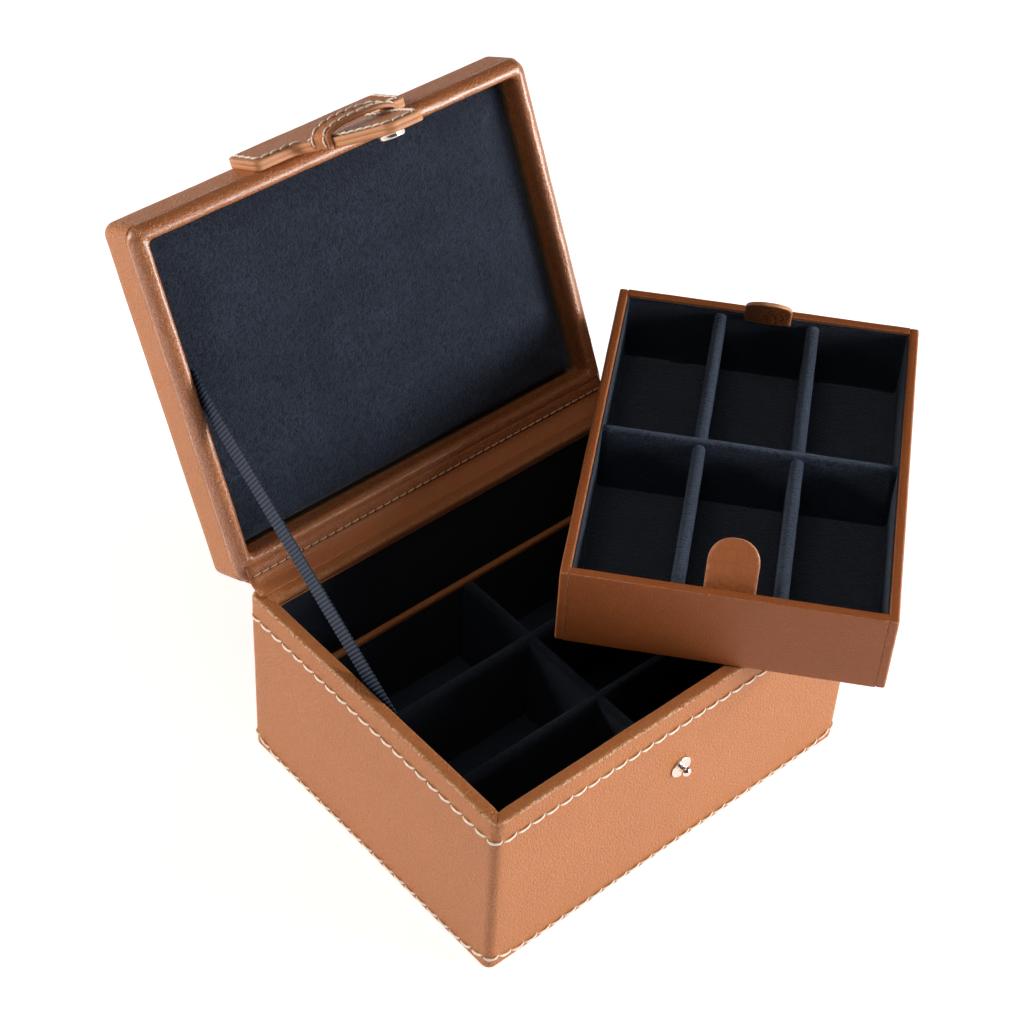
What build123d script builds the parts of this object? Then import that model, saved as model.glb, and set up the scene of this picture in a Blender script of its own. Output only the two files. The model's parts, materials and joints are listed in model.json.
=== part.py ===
from build123d import *
import os
from math import cos, radians, sin

os.makedirs("parts", exist_ok=True)

# Leather jewellery case, in millimetres. The origin is the centre of the underside,
# +X is to the right, +Y is to the back and +Z is up. The lid is open and the tray
# lies across the rim, as the case is shown.

# Case
CASE_W = 200.0            # left to right, over the leather
CASE_D = 156.0            # front to back
BASE_H = 92.0             # underside to the top of the base rim
LID_H = 25.0              # height of the closed lid
CORNER_R = 5.0            # vertical corners of the cover
LEATHER = 1.3             # cover leather
BOARD = 4.0               # wall boards
SUEDE = 1.2               # lining
REAR_WALL = 11.0          # the rear walls are thicker than the others
WALL = LEATHER + BOARD + SUEDE

# Hinge and lid
LID_GAP = 0.3             # closed lid above the base rim
LID_OPEN = 115.5          # degrees from closed
HINGE_Y = CASE_D / 2 + 0.8
HINGE_Z = BASE_H + LID_GAP
STRIP_T = 1.0             # leather hinge strip
STRIP_H = 14.0            # how far it runs down the base and up the lid
RIM_ROLL = 3.2            # height of the lid's padded rim
PANEL_DEPTH = 10.0        # lid panel below the rim plane

# Base details
FELT = 1.8                # sheet under the base
TURN_IN = 12.0            # cover leather turned in under the base
FLOOR_BOARD = 3.5
RIM_LIP = 2.2             # rim leather turned down inside
STEP_TOP = 53.0           # where the tray sits
STEP_T = 3.5
DIVIDER_T = 5.6
PARTITION_T = 3.6
PARTITION_Y = 57.5
LONG_DIVIDER_Y = {"front": -28.5, "middle": 14.5}

# Press stud and clasp
STUD_Z = 53.0
STUD_FLANGE_R = 5.2
STUD_BALL_R = 2.3
STUD_HEIGHT = 5.2
BAR_W = 76.0
TAB_LENGTH = 53.0
TAB_ROOT_W = 34.0
TAB_TIP_W = 18.0
STRAP_T = 2.1             # one layer of clasp leather
CLASP_PRESSED = 5.8       # degrees out from the front when snapped shut
CLASP_RELAXED = 9.2       # degrees out when nothing holds it
SOCKET_R = 6.3
SOCKET_H = 2.4
SOCKET_HOLE_R = 3.2

# Stay ribbon
RIBBON_W = 11.0
RIBBON_T = 0.7
RIBBON_X = -92.15

# Tray, in its own frame: long side along X, underside at z = 0
TRAY_L = 181.5
TRAY_W = 133.0
TRAY_H = 38.6
TRAY_LEATHER = 1.2
TRAY_BOARD = 2.6
TRAY_SUEDE = 1.0
TRAY_DIVIDER_T = 5.4
TRAY_DIVIDER_TOP = 36.2
TRAY_POSE = (92.5, -12.5, BASE_H + 0.1)
TRAY_YAW = 39.8
PULL_W = 21.0
PULL_LENGTH = 22.0
PULL_T = 1.8
PULL_LEAN = 28.0          # degrees in from upright


def block(x, y, z):
    """Box between the given pairs of limits."""
    size = [high - low for low, high in (x, y, z)]
    return Pos(*[(low + high) / 2 for low, high in (x, y, z)]) * Box(*size)


def prism(width, depth, radius, z, centre=(0, 0)):
    """Upright prism with rounded vertical corners."""
    outline = RectangleRounded(width, depth, radius)
    return Pos(centre[0], centre[1], z[0]) * extrude(outline, z[1] - z[0])


def edges_at(shape, height):
    """Edges that lie wholly at one height."""
    return shape.edges().filter_by_position(Axis.Z, height - 0.01, height + 0.01)


def save(name, shape):
    export_step(shape, f"parts/{name}.step")


# The cavity and the boards share one plan in the base and the lid.
CAVITY_X = CASE_W / 2 - WALL
CAVITY_Y = (-CASE_D / 2 + WALL, CASE_D / 2 - REAR_WALL)
CAVITY_MID = sum(CAVITY_Y) / 2
CAVITY_D = CAVITY_Y[1] - CAVITY_Y[0]


def cavity(z, grow=0.0, radius=0.8):
    """The cavity's plan as a prism, grown or shrunk all round."""
    return prism(2 * (CAVITY_X + grow), CAVITY_D + 2 * grow, radius, z, (0, CAVITY_MID))


def inside_cover(z):
    """Room inside the cover leather."""
    return prism(CASE_W - 2 * LEATHER, CASE_D - 2 * LEATHER, CORNER_R - LEATHER, z)


def wall_boards(z, room):
    """Front, rear, left and right boards between two heights, trimmed to the cover."""
    x_out = CASE_W / 2
    x_in = CAVITY_X + SUEDE
    y_front = CAVITY_Y[0] - SUEDE
    y_rear = CAVITY_Y[1] + SUEDE
    y_out = CASE_D / 2
    boards = {
        "front": block((-x_in, x_in), (-y_out, y_front), z),
        "rear": block((-x_in, x_in), (y_rear, y_out), z),
        "left": block((-x_out, -x_in), (-y_out, y_out), z),
        "right": block((x_in, x_out), (-y_out, y_out), z),
    }
    return {side: board & room for side, board in boards.items()}


# ---------------------------------------------------------------- base shell
RIM_UNDER = BASE_H - LEATHER
FLOOR_TOP = FELT + FLOOR_BOARD + SUEDE


def stud_axis(z):
    """Places a shape built along +Z so that it points out of the front face."""
    return Pos(0, -CASE_D / 2, z) * Rot(90, 0, 0)


def base_cover():
    low = 0.5
    outer = prism(CASE_W, CASE_D, CORNER_R, (low, RIM_UNDER))
    outer = fillet(edges_at(outer, low), 3.0)
    opening = prism(CASE_W - 2 * TURN_IN, CASE_D - 2 * TURN_IN, 3.0, (0, FELT))
    hole = stud_axis(STUD_Z) * Cylinder(2.0, 4 * LEATHER)
    return outer - inside_cover((FELT, BASE_H)) - opening - hole


def base_felt():
    inset = 2 * TURN_IN + 0.4
    return prism(CASE_W - inset, CASE_D - inset, 2.8, (0, FELT))


def base_rim():
    """Four mitred strips, each with its lip turned down inside."""
    frame = prism(CASE_W, CASE_D, CORNER_R, (RIM_UNDER, BASE_H))
    frame = fillet(edges_at(frame, BASE_H), 1.0)
    frame += cavity((RIM_UNDER - RIM_LIP, RIM_UNDER), SUEDE)
    frame -= cavity((0, 2 * BASE_H))
    corners = [(-CASE_W / 2, -CASE_D / 2), (CASE_W / 2, -CASE_D / 2),
               (CASE_W / 2, CASE_D / 2), (-CASE_W / 2, CASE_D / 2)]
    inner = [(-CAVITY_X, CAVITY_Y[0]), (CAVITY_X, CAVITY_Y[0]),
             (CAVITY_X, CAVITY_Y[1]), (-CAVITY_X, CAVITY_Y[1])]
    reach = 2.0           # the mitre line runs on past the rim both ways
    strips = {}
    for i, side in enumerate(("front", "right", "rear", "left")):
        ends = []
        for k in (i, (i + 1) % 4):
            out = Vector(*corners[k])
            way = Vector(*inner[k]) - out
            ends.append((out - way, out + way * reach))
        points = [ends[0][0], ends[1][0], ends[1][1], ends[0][1]]
        mitred = extrude(make_face(Polyline(*points, close=True)), 2 * BASE_H)
        strips[side] = frame & mitred
    return strips


def base_boards():
    boards = wall_boards((FELT, RIM_UNDER), inside_cover((FELT, RIM_UNDER)))
    shank = stud_axis(STUD_Z) * Cylinder(2.0, 4 * BOARD)
    recess = stud_axis(STUD_Z) * Pos(0, 0, -(LEATHER + BOARD)) * Cylinder(5.2, 2.4)
    boards["front"] = boards["front"] - shank - recess
    x_in = CAVITY_X + SUEDE
    boards["bottom"] = block((-x_in, x_in), (CAVITY_Y[0] - SUEDE, CAVITY_Y[1] + SUEDE),
                             (FELT, FELT + FLOOR_BOARD))
    return boards


def base_lining():
    low = FELT + FLOOR_BOARD
    outer = block((-CAVITY_X - SUEDE, CAVITY_X + SUEDE),
                  (CAVITY_Y[0] - SUEDE, CAVITY_Y[1] + SUEDE), (low, RIM_UNDER - RIM_LIP))
    return outer - cavity((0, BASE_H))


def snap_stud():
    flange = Cylinder(STUD_FLANGE_R, 0.8, align=(Align.CENTER, Align.CENTER, Align.MIN))
    flange = fillet(edges_at(flange, 0.8), 0.6)
    post = Cylinder(1.6, STUD_HEIGHT / 2, align=(Align.CENTER, Align.CENTER, Align.MIN))
    ball = Pos(0, 0, STUD_HEIGHT - STUD_BALL_R) * Sphere(STUD_BALL_R)
    shank = Cylinder(1.9, LEATHER + BOARD, align=(Align.CENTER, Align.CENTER, Align.MAX))
    return stud_axis(STUD_Z) * (flange + post + ball + shank)


def snap_washer():
    ring = Cylinder(5.0, 1.1) - Cylinder(2.0, 2.0)
    return stud_axis(STUD_Z) * Pos(0, 0, -(LEATHER + BOARD) + 0.6) * ring


# ---------------------------------------------------------------- base inside
STEP_X = CAVITY_X - STEP_T
STEP_FRONT = CAVITY_Y[0] + STEP_T
PARTITION_CAP_T = PARTITION_T + 0.8
CAP_FACE = PARTITION_Y - PARTITION_CAP_T / 2


def tray_steps():
    z = (FLOOR_TOP, STEP_TOP)
    return {
        "front": block((-STEP_X, STEP_X), (CAVITY_Y[0], STEP_FRONT), z),
        "left": block((-CAVITY_X, -STEP_X), (CAVITY_Y[0] + 1, CAP_FACE), z),
        "right": block((STEP_X, CAVITY_X), (CAVITY_Y[0] + 1, CAP_FACE), z),
    }


def rounded_top(shape, top, radius):
    """Rounds the long edges of a divider's top."""
    return fillet(edges_at(shape, top), radius)


def half_lap_slots(places, thickness, z, along_x):
    """Slots where crossing dividers pass through each other."""
    half = thickness / 2 + 0.1
    slots = [block((p - half, p + half), (-200, 200), z) if along_x
             else block((-200, 200), (p - half, p + half), z) for p in places]
    joined = slots[0]
    for slot in slots[1:]:
        joined += slot
    return joined


def lower_dividers():
    top = STEP_TOP - 0.4
    lap = (FLOOR_TOP + top) / 2
    pieces = {}
    for name, y in LONG_DIVIDER_Y.items():
        y_limits = (y - DIVIDER_T / 2, y + DIVIDER_T / 2)
        divider = block((-STEP_X, STEP_X), y_limits, (FLOOR_TOP, top))
        divider = rounded_top(divider, top, 1.6)
        slots = half_lap_slots([0], DIVIDER_T, (lap, BASE_H), True)
        pieces[f"lower_long_divider_{name}"] = divider - slots
    cross = block((-DIVIDER_T / 2, DIVIDER_T / 2), (STEP_FRONT, CAP_FACE), (FLOOR_TOP, top))
    cross = rounded_top(cross, top, 1.6)
    slots = half_lap_slots(LONG_DIVIDER_Y.values(), DIVIDER_T, (0, lap), False)
    pieces["lower_cross_divider"] = cross - slots
    return pieces


def rear_partition():
    y_limits = (PARTITION_Y - PARTITION_T / 2, PARTITION_Y + PARTITION_T / 2)
    board = block((-CAVITY_X, CAVITY_X), y_limits, (FLOOR_TOP, STEP_TOP - LEATHER))
    cap_y = (PARTITION_Y - PARTITION_CAP_T / 2, PARTITION_Y + PARTITION_CAP_T / 2)
    cap = block((-CAVITY_X, CAVITY_X), cap_y, (STEP_TOP - 5, STEP_TOP))
    cap = fillet(cap.edges().filter_by(Axis.X).group_by(Axis.Z)[-1], 1.2)
    return {"rear_partition_board": board, "rear_partition_cap": cap - board}


# ---------------------------------------------------------------- lid, closed
def lid_z(low, high):
    """Heights above the rim plane of the closed lid."""
    return (HINGE_Z + low, HINGE_Z + high)


def opened(shape):
    """Turns a piece of the closed lid to the open position."""
    return shape.rotate(Axis((0, HINGE_Y, HINGE_Z), (1, 0, 0)), -LID_OPEN)


def inside_lid():
    room = inside_cover(lid_z(RIM_ROLL, LID_H - LEATHER))
    return fillet(edges_at(room, HINGE_Z + LID_H - LEATHER), 2.7)


def lid_cover():
    outer = prism(CASE_W, CASE_D, CORNER_R, lid_z(RIM_ROLL, LID_H))
    outer = fillet(edges_at(outer, HINGE_Z + LID_H), 4.0)
    return outer - inside_lid()


def lid_boards():
    room = inside_lid()
    top_under = LID_H - LEATHER - 3.5
    boards = wall_boards(lid_z(RIM_ROLL, top_under), room)
    top = block((-CASE_W, CASE_W), (-CASE_D, CASE_D), lid_z(top_under, LID_H))
    boards["top"] = top & room
    return boards


def lid_rim():
    """Padded roll of leather over the edges of the lid's walls."""
    plan = prism(CASE_W - 1.0, CASE_D - 1.0, CORNER_R, lid_z(0, RIM_ROLL))
    ring = plan - cavity(lid_z(-1, LID_H), -0.7)
    return fillet(edges_at(ring, HINGE_Z), 2.9)


def lid_inner_band():
    z = lid_z(RIM_ROLL, LID_H - LEATHER - 3.5)
    outer = block((-CAVITY_X - SUEDE, CAVITY_X + SUEDE),
                  (CAVITY_Y[0] - SUEDE, CAVITY_Y[1] + SUEDE), z)
    return outer - cavity(lid_z(0, LID_H))


def lid_panel():
    split = PANEL_DEPTH + 7.7
    pad = cavity(lid_z(PANEL_DEPTH, split), -0.3)
    pad = fillet(edges_at(pad, HINGE_Z + PANEL_DEPTH), 3.0)
    board = cavity(lid_z(split, LID_H - LEATHER - 3.5), -0.3)
    return {"lid_panel_pad": pad, "lid_panel_board": board}


def hinge_strip():
    """Leather down the back of the base and up the back of the lid, creased at the hinge."""
    half_w = CASE_W / 2 - 7
    y_limits = (CASE_D / 2, CASE_D / 2 + STRIP_T)
    base_half = block((-half_w, half_w), y_limits, (HINGE_Z - STRIP_H, HINGE_Z - 0.4))
    lid_half = block((-half_w, half_w), y_limits, (HINGE_Z + 0.4, HINGE_Z + STRIP_H))
    crease = Pos(0, HINGE_Y, HINGE_Z) * Rot(0, 90, 0) * Cylinder(0.55, 2 * half_w)
    return base_half + opened(lid_half) + crease


# ---------------------------------------------------------------- clasp, closed
CLASP_Y = -CASE_D / 2 - STRAP_T
CLASP_Z = HINGE_Z - 0.8


def outline_xz(points, y_front, thickness, radius):
    """Flat leather shape that faces the front, with its corners rounded."""
    face = make_face(Polyline(*points, close=True))
    face = fillet(face.vertices(), radius)
    return Pos(0, y_front + thickness, 0) * Rot(90, 0, 0) * extrude(face, thickness)


def clasp_bar_layer(y_front):
    low, high = lid_z(1.7, LID_H - 0.8)
    half = BAR_W / 2
    points = [(-half, low), (half, low), (half, high), (-half, high)]
    return outline_xz(points, y_front, STRAP_T, 2.5)


def tab_layer(y_front):
    top = CLASP_Z - 0.2
    shoulder = top - 30
    tip = top - TAB_LENGTH
    root, tip_half = TAB_ROOT_W / 2, TAB_TIP_W / 2
    points = [(-root, top), (-root + 1.5, shoulder), (-tip_half, tip),
              (tip_half, tip), (root - 1.5, shoulder), (root, top)]
    face = make_face(Polyline(*points, close=True))
    lower = face.vertices().sort_by(Axis.Y)[:4]
    face = fillet(lower, 4.0)
    return Pos(0, y_front + STRAP_T, 0) * Rot(90, 0, 0) * extrude(face, STRAP_T)


def flexed(shape, angle):
    """Swings a piece of the clasp tab out from the front."""
    return shape.rotate(Axis((0, CLASP_Y, CLASP_Z), (1, 0, 0)), -angle)


def socket_centre():
    """Where the stud meets the tab's inner face when the clasp is snapped shut."""
    along = (CLASP_Z - STUD_Z) / cos(radians(CLASP_PRESSED))
    return CLASP_Z - along + STRAP_T * sin(radians(CLASP_PRESSED))


def snap_socket():
    """Ring on the tab's inner face, open towards the stud."""
    ring = Cylinder(SOCKET_R, SOCKET_H) - Cylinder(SOCKET_HOLE_R, 2 * SOCKET_H)
    ring = fillet(ring.edges().filter_by(GeomType.CIRCLE).sort_by(Axis.Z)[-1:], 0.5)
    return Pos(0, -CASE_D / 2 + SOCKET_H / 2, socket_centre()) * Rot(-90, 0, 0) * ring


def clasp_backing():
    hole = Pos(0, -CASE_D / 2, socket_centre()) * Rot(90, 0, 0) * Cylinder(SOCKET_HOLE_R, 20)
    return tab_layer(-CASE_D / 2 - STRAP_T) - hole


def clasp_keeper():
    """Band stitched across the tab, arched so that a finger can hook it."""
    reach, rise, thickness = 16.0, 4.4, 1.7
    outer = ThreePointArc((-reach, 0), (0, rise), (reach, 0))
    inner = ThreePointArc((-reach + 2.4, 0), (0, rise - thickness), (reach - 2.4, 0))
    feet = [Line((-reach, 0), (-reach + 2.4, 0)), Line((reach - 2.4, 0), (reach, 0))]
    face = make_face(Curve() + [outer, inner, feet[0], feet[1]])
    band = extrude(face, 12.0)
    surface = -CASE_D / 2 - 2 * STRAP_T
    return Pos(0, surface, CLASP_Z - 19.5) * Rot(0, 0, 180) * band


# ---------------------------------------------------------------- stay ribbon
def stay_ribbon():
    """Straight and taut from the base's left wall to the lid, with a hem at its lower end."""
    low = Vector(0, -5.5, 85.0)
    high = Vector(0, 123.5, 174.6)
    way = high - low
    ribbon = Box(RIBBON_T, way.length, RIBBON_W)
    hem = Box(1.0, 9.0, RIBBON_W - 0.4)
    hem_x = -(RIBBON_T + 1.0) / 2
    ribbon += Pos(hem_x, -way.length / 2 + 4.5, 0) * hem
    tilt = Vector(0, 1, 0).get_angle(way)
    middle = (low + high) * 0.5
    return Pos(RIBBON_X, middle.Y, middle.Z) * Rot(tilt, 0, 0) * ribbon


# ---------------------------------------------------------------- tray, own frame
TRAY_WALL = TRAY_LEATHER + TRAY_BOARD
TRAY_INSIDE = TRAY_WALL + TRAY_SUEDE
TRAY_FLOOR = 1.4 + 2.5 + TRAY_SUEDE
TRAY_BAND = TRAY_H - TRAY_LEATHER


def tray_plan(inset, z, radius=0.6):
    return prism(TRAY_L - 2 * inset, TRAY_W - 2 * inset, radius, z)


def on_rim(shape):
    """Places a tray piece where the tray lies across the rim."""
    return Pos(*TRAY_POSE) * Rot(0, 0, TRAY_YAW) * shape


def tray_cover():
    outer = tray_plan(0, (0.4, TRAY_H), 3.0)
    outer = fillet(edges_at(outer, 0.4), 2.0)
    outer = fillet(edges_at(outer, TRAY_H), 0.8)
    return (outer - tray_plan(TRAY_LEATHER, (1.4, TRAY_BAND), 1.8)
            - tray_plan(TRAY_WALL, (TRAY_BAND - 1, TRAY_H + 1)) - tray_plan(9.0, (0, 2)))


def tray_boards():
    z = (1.4, TRAY_BAND)
    room = tray_plan(TRAY_LEATHER, z, 1.8)
    x_in, y_in = TRAY_L / 2 - TRAY_WALL, TRAY_W / 2 - TRAY_WALL
    return {
        "tray_front_board": block((-TRAY_L, -x_in), (-TRAY_W, TRAY_W), z) & room,
        "tray_rear_board": block((x_in, TRAY_L), (-TRAY_W, TRAY_W), z) & room,
        "tray_left_board": block((-x_in, x_in), (y_in, TRAY_W), z) & room,
        "tray_right_board": block((-x_in, x_in), (-TRAY_W, -y_in), z) & room,
        "tray_bottom_board": block((-x_in, x_in), (-y_in, y_in), (1.4, 3.9)),
    }


def tray_lining():
    x, y = TRAY_L / 2 - TRAY_WALL, TRAY_W / 2 - TRAY_WALL
    outer = block((-x, x), (-y, y), (3.9, TRAY_BAND))
    return outer - tray_plan(TRAY_INSIDE, (TRAY_FLOOR, TRAY_H))


def tray_dividers():
    x, y = TRAY_L / 2 - TRAY_INSIDE, TRAY_W / 2 - TRAY_INSIDE
    half = TRAY_DIVIDER_T / 2
    places = [-y / 3, y / 3]
    top = TRAY_DIVIDER_TOP
    lap = (TRAY_FLOOR + top) / 2
    pieces = {}
    for side, place in zip(("right", "left"), places):
        divider = block((-x, x), (place - half, place + half), (TRAY_FLOOR, top))
        divider = rounded_top(divider, top, 1.6)
        slots = half_lap_slots([0], TRAY_DIVIDER_T, (lap, TRAY_H), True)
        pieces[f"tray_long_divider_{side}"] = divider - slots
    cross = block((-half, half), (-y, y), (TRAY_FLOOR, top))
    cross = rounded_top(cross, top, 1.6)
    pieces["tray_cross_divider"] = cross - half_lap_slots(places, TRAY_DIVIDER_T, (0, lap), False)
    return pieces


PULL_X = TRAY_L / 2 - TRAY_INSIDE - 1.2
PULL_Z = TRAY_BAND - 2.0


def pull_tab(end):
    """Leather tab with a rounded tip, leaning in over the tray; end is -1 front, +1 rear."""
    half = PULL_W / 2
    outline = [(-half, 0), (half, 0), (half, PULL_LENGTH), (-half, PULL_LENGTH)]
    face = make_face(Polyline(*outline, close=True))
    face = fillet(face.vertices().sort_by(Axis.Y)[-2:], half * 0.8)
    leaf = Rot(90, 0, 0) * extrude(face, PULL_T / 2, both=True)
    root = Rot(0, 90, 0) * Cylinder(PULL_T / 2, PULL_W)
    tab = Rot(0, 0, 90) * (leaf + root)
    return Pos(end * PULL_X, 0, PULL_Z) * Rot(0, -end * PULL_LEAN, 0) * tab


# ---------------------------------------------------------------- write the parts
save("base_cover", base_cover())
save("base_felt", base_felt())
save("base_lining", base_lining())
save("base_floor_lining", cavity((FELT + FLOOR_BOARD, FLOOR_TOP), -0.05))
for side, board in base_boards().items():
    save(f"base_{side}_board", board)
for side, strip in base_rim().items():
    save(f"base_rim_{side}", strip)
for side, step in tray_steps().items():
    save(f"tray_step_{side}", step)
for name, piece in {**lower_dividers(), **rear_partition()}.items():
    save(name, piece)
save("snap_stud", snap_stud())
save("snap_washer", snap_washer())
save("hinge_strip", hinge_strip())
save("stay_ribbon", stay_ribbon())

save("lid_cover", opened(lid_cover()))
for side, board in lid_boards().items():
    save(f"lid_{side}_board", opened(board))
save("lid_rim", opened(lid_rim()))
save("lid_inner_band", opened(lid_inner_band()))
for name, piece in lid_panel().items():
    save(name, opened(piece))
save("clasp_bar", opened(clasp_bar_layer(-CASE_D / 2 - 2 * STRAP_T)))
save("clasp_bar_backing", opened(clasp_bar_layer(-CASE_D / 2 - STRAP_T)))

clasp = {
    "clasp_tab": tab_layer(-CASE_D / 2 - 2 * STRAP_T),
    "clasp_backing": clasp_backing(),
    "clasp_keeper": clasp_keeper(),
    "snap_socket": snap_socket(),
}
for name, piece in clasp.items():
    save(name, opened(flexed(piece, CLASP_RELAXED)))

save("tray_cover", on_rim(tray_cover()))
save("tray_felt", on_rim(tray_plan(9.2, (0, 1.4), 1.0)))
save("tray_lining", on_rim(tray_lining()))
for name, piece in {**tray_boards(), **tray_dividers()}.items():
    save(name, on_rim(piece))
save("front_pull_tab", on_rim(pull_tab(-1)))
save("rear_pull_tab", on_rim(pull_tab(1)))
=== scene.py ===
import json
from itertools import product
from math import cos, exp, pi, radians, sin

import bpy
import bmesh
from mathutils import Matrix, Vector, noise


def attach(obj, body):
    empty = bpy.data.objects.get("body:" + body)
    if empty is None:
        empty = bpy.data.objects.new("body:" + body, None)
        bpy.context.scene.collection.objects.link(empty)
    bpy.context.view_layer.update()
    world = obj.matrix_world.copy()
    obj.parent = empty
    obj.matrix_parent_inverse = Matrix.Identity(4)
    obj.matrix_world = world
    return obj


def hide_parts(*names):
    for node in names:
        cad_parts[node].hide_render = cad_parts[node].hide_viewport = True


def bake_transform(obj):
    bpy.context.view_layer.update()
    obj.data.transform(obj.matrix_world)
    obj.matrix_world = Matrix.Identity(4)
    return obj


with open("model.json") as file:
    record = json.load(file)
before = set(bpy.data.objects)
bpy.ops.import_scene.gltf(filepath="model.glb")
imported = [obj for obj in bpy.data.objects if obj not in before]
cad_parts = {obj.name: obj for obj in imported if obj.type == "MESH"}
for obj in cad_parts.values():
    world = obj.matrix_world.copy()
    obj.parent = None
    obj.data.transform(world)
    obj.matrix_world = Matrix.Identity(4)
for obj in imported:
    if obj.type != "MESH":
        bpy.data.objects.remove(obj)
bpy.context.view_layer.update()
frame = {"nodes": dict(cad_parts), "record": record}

SCENE = bpy.context.scene
MM = 0.001

# Sizes of the CAD model, in millimetres
W, D = 200.0, 156.0
CASE = (-W / 2, W / 2, -D / 2, D / 2)
WALL, REAR = 6.5, 11.0
RIM_PLANE = 92.3
HINGE = Vector((0, 78.8, RIM_PLANE))
LID_OPEN, CLASP_RELAXED = 115.5, 9.2
STRAP_T = 4.2
CLASP_Y, CLASP_Z = -D / 2 - STRAP_T / 2, RIM_PLANE - 0.8
TRAY_L, TRAY_W, TRAY_H = 181.5, 133.0, 38.6
TRAY_INSIDE = 4.8


def spin(degrees, axis="X"):
    """A turn about an axis through the origin."""
    return Matrix.Rotation(radians(degrees), 4, axis)


def turned(place, degrees):
    """A turn about the line through place that runs along X."""
    there = Matrix.Translation(place)
    return there @ spin(degrees) @ there.inverted()


OPENED = turned(HINGE, -LID_OPEN)
CLASP_ROOT = (0, CLASP_Y, CLASP_Z)
# Lid pieces are modelled closed, with heights counted from the rim plane.
LID = OPENED @ Matrix.Translation((0, 0, HINGE.z))
TRAY = Matrix.Translation((92.5, -12.5, 92.1)) @ spin(39.8, "Z")


# ------ materials
class Nodes:
    """Small helper for building one material's node tree."""

    def __init__(self, name):
        self.material = bpy.data.materials.new(name)
        self.material.use_nodes = True
        self.tree = self.material.node_tree
        self.shader = self.tree.nodes["Principled BSDF"]
        coords = self.tree.nodes.new("ShaderNodeTexCoord")
        self.mm = self.vector_math("SCALE", coords.outputs["Object"], scale=1 / MM)

    def node(self, kind, inputs=None, **settings):
        made = self.tree.nodes.new(kind)
        for key, value in settings.items():
            setattr(made, key, value)
        for key, value in (inputs or {}).items():
            self.feed(made.inputs[key], value)
        return made

    def feed(self, socket, value):
        if isinstance(value, bpy.types.NodeSocket):
            self.tree.links.new(value, socket)
        else:
            socket.default_value = (*value, 1) if socket.type == "RGBA" else value

    def vector_math(self, operation, a, b=None, scale=1.0):
        inputs = {0: a, "Scale": scale} if b is None else {0: a, 1: b}
        return self.node("ShaderNodeVectorMath", inputs, operation=operation).outputs[0]

    def math(self, operation, *values, clamp=False):
        made = self.node("ShaderNodeMath", dict(enumerate(values)), operation=operation,
                         use_clamp=clamp)
        return made.outputs[0]

    def noise(self, size, detail=2.0, rough=0.5, vector=None, distortion=0.0):
        inputs = {"Vector": vector or self.mm, "Scale": 1 / size, "Detail": detail,
                  "Roughness": rough, "Distortion": distortion}
        return self.node("ShaderNodeTexNoise", inputs).outputs["Fac"]

    def cells(self, size, feature, vector, **inputs):
        inputs = {"Vector": vector, "Scale": 1 / size, **inputs}
        return self.node("ShaderNodeTexVoronoi", inputs, feature=feature).outputs["Distance"]

    def remap(self, value, low, high, to_low=0.0, to_high=1.0):
        inputs = {"Value": value, "From Min": low, "From Max": high,
                  "To Min": to_low, "To Max": to_high}
        return self.node("ShaderNodeMapRange", inputs).outputs["Result"]

    def mix(self, factor, a, b):
        made = self.node("ShaderNodeMix", {"Factor": factor}, data_type="RGBA")
        for socket, value in zip([s for s in made.inputs if s.type == "RGBA"], (a, b)):
            self.feed(socket, value)
        return [s for s in made.outputs if s.type == "RGBA"][0]

    def attribute(self, name):
        return self.node("ShaderNodeAttribute", attribute_name=name).outputs["Fac"]

    def bump(self, height, distance, strength=1.0, normal=None):
        inputs = {"Height": height, "Strength": strength, "Distance": distance * MM}
        if normal is not None:
            inputs["Normal"] = normal
        return self.node("ShaderNodeBump", inputs).outputs["Normal"]

    def finish(self, base_color, roughness, **values):
        """Feeds the shader, whose sockets are named by the keywords, and gives the material."""
        for key, value in dict(values, base_color=base_color, roughness=roughness).items():
            label = key.replace("_", " ").title().replace("Ior", "IOR")
            self.feed(self.shader.inputs[label], value)
        return self.material


def tinted(colour, *factors):
    """A colour times one factor, or times one for each channel."""
    return tuple(min(1, c * f) for c, f in zip(colour, factors if factors[1:] else factors * 3))


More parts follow.
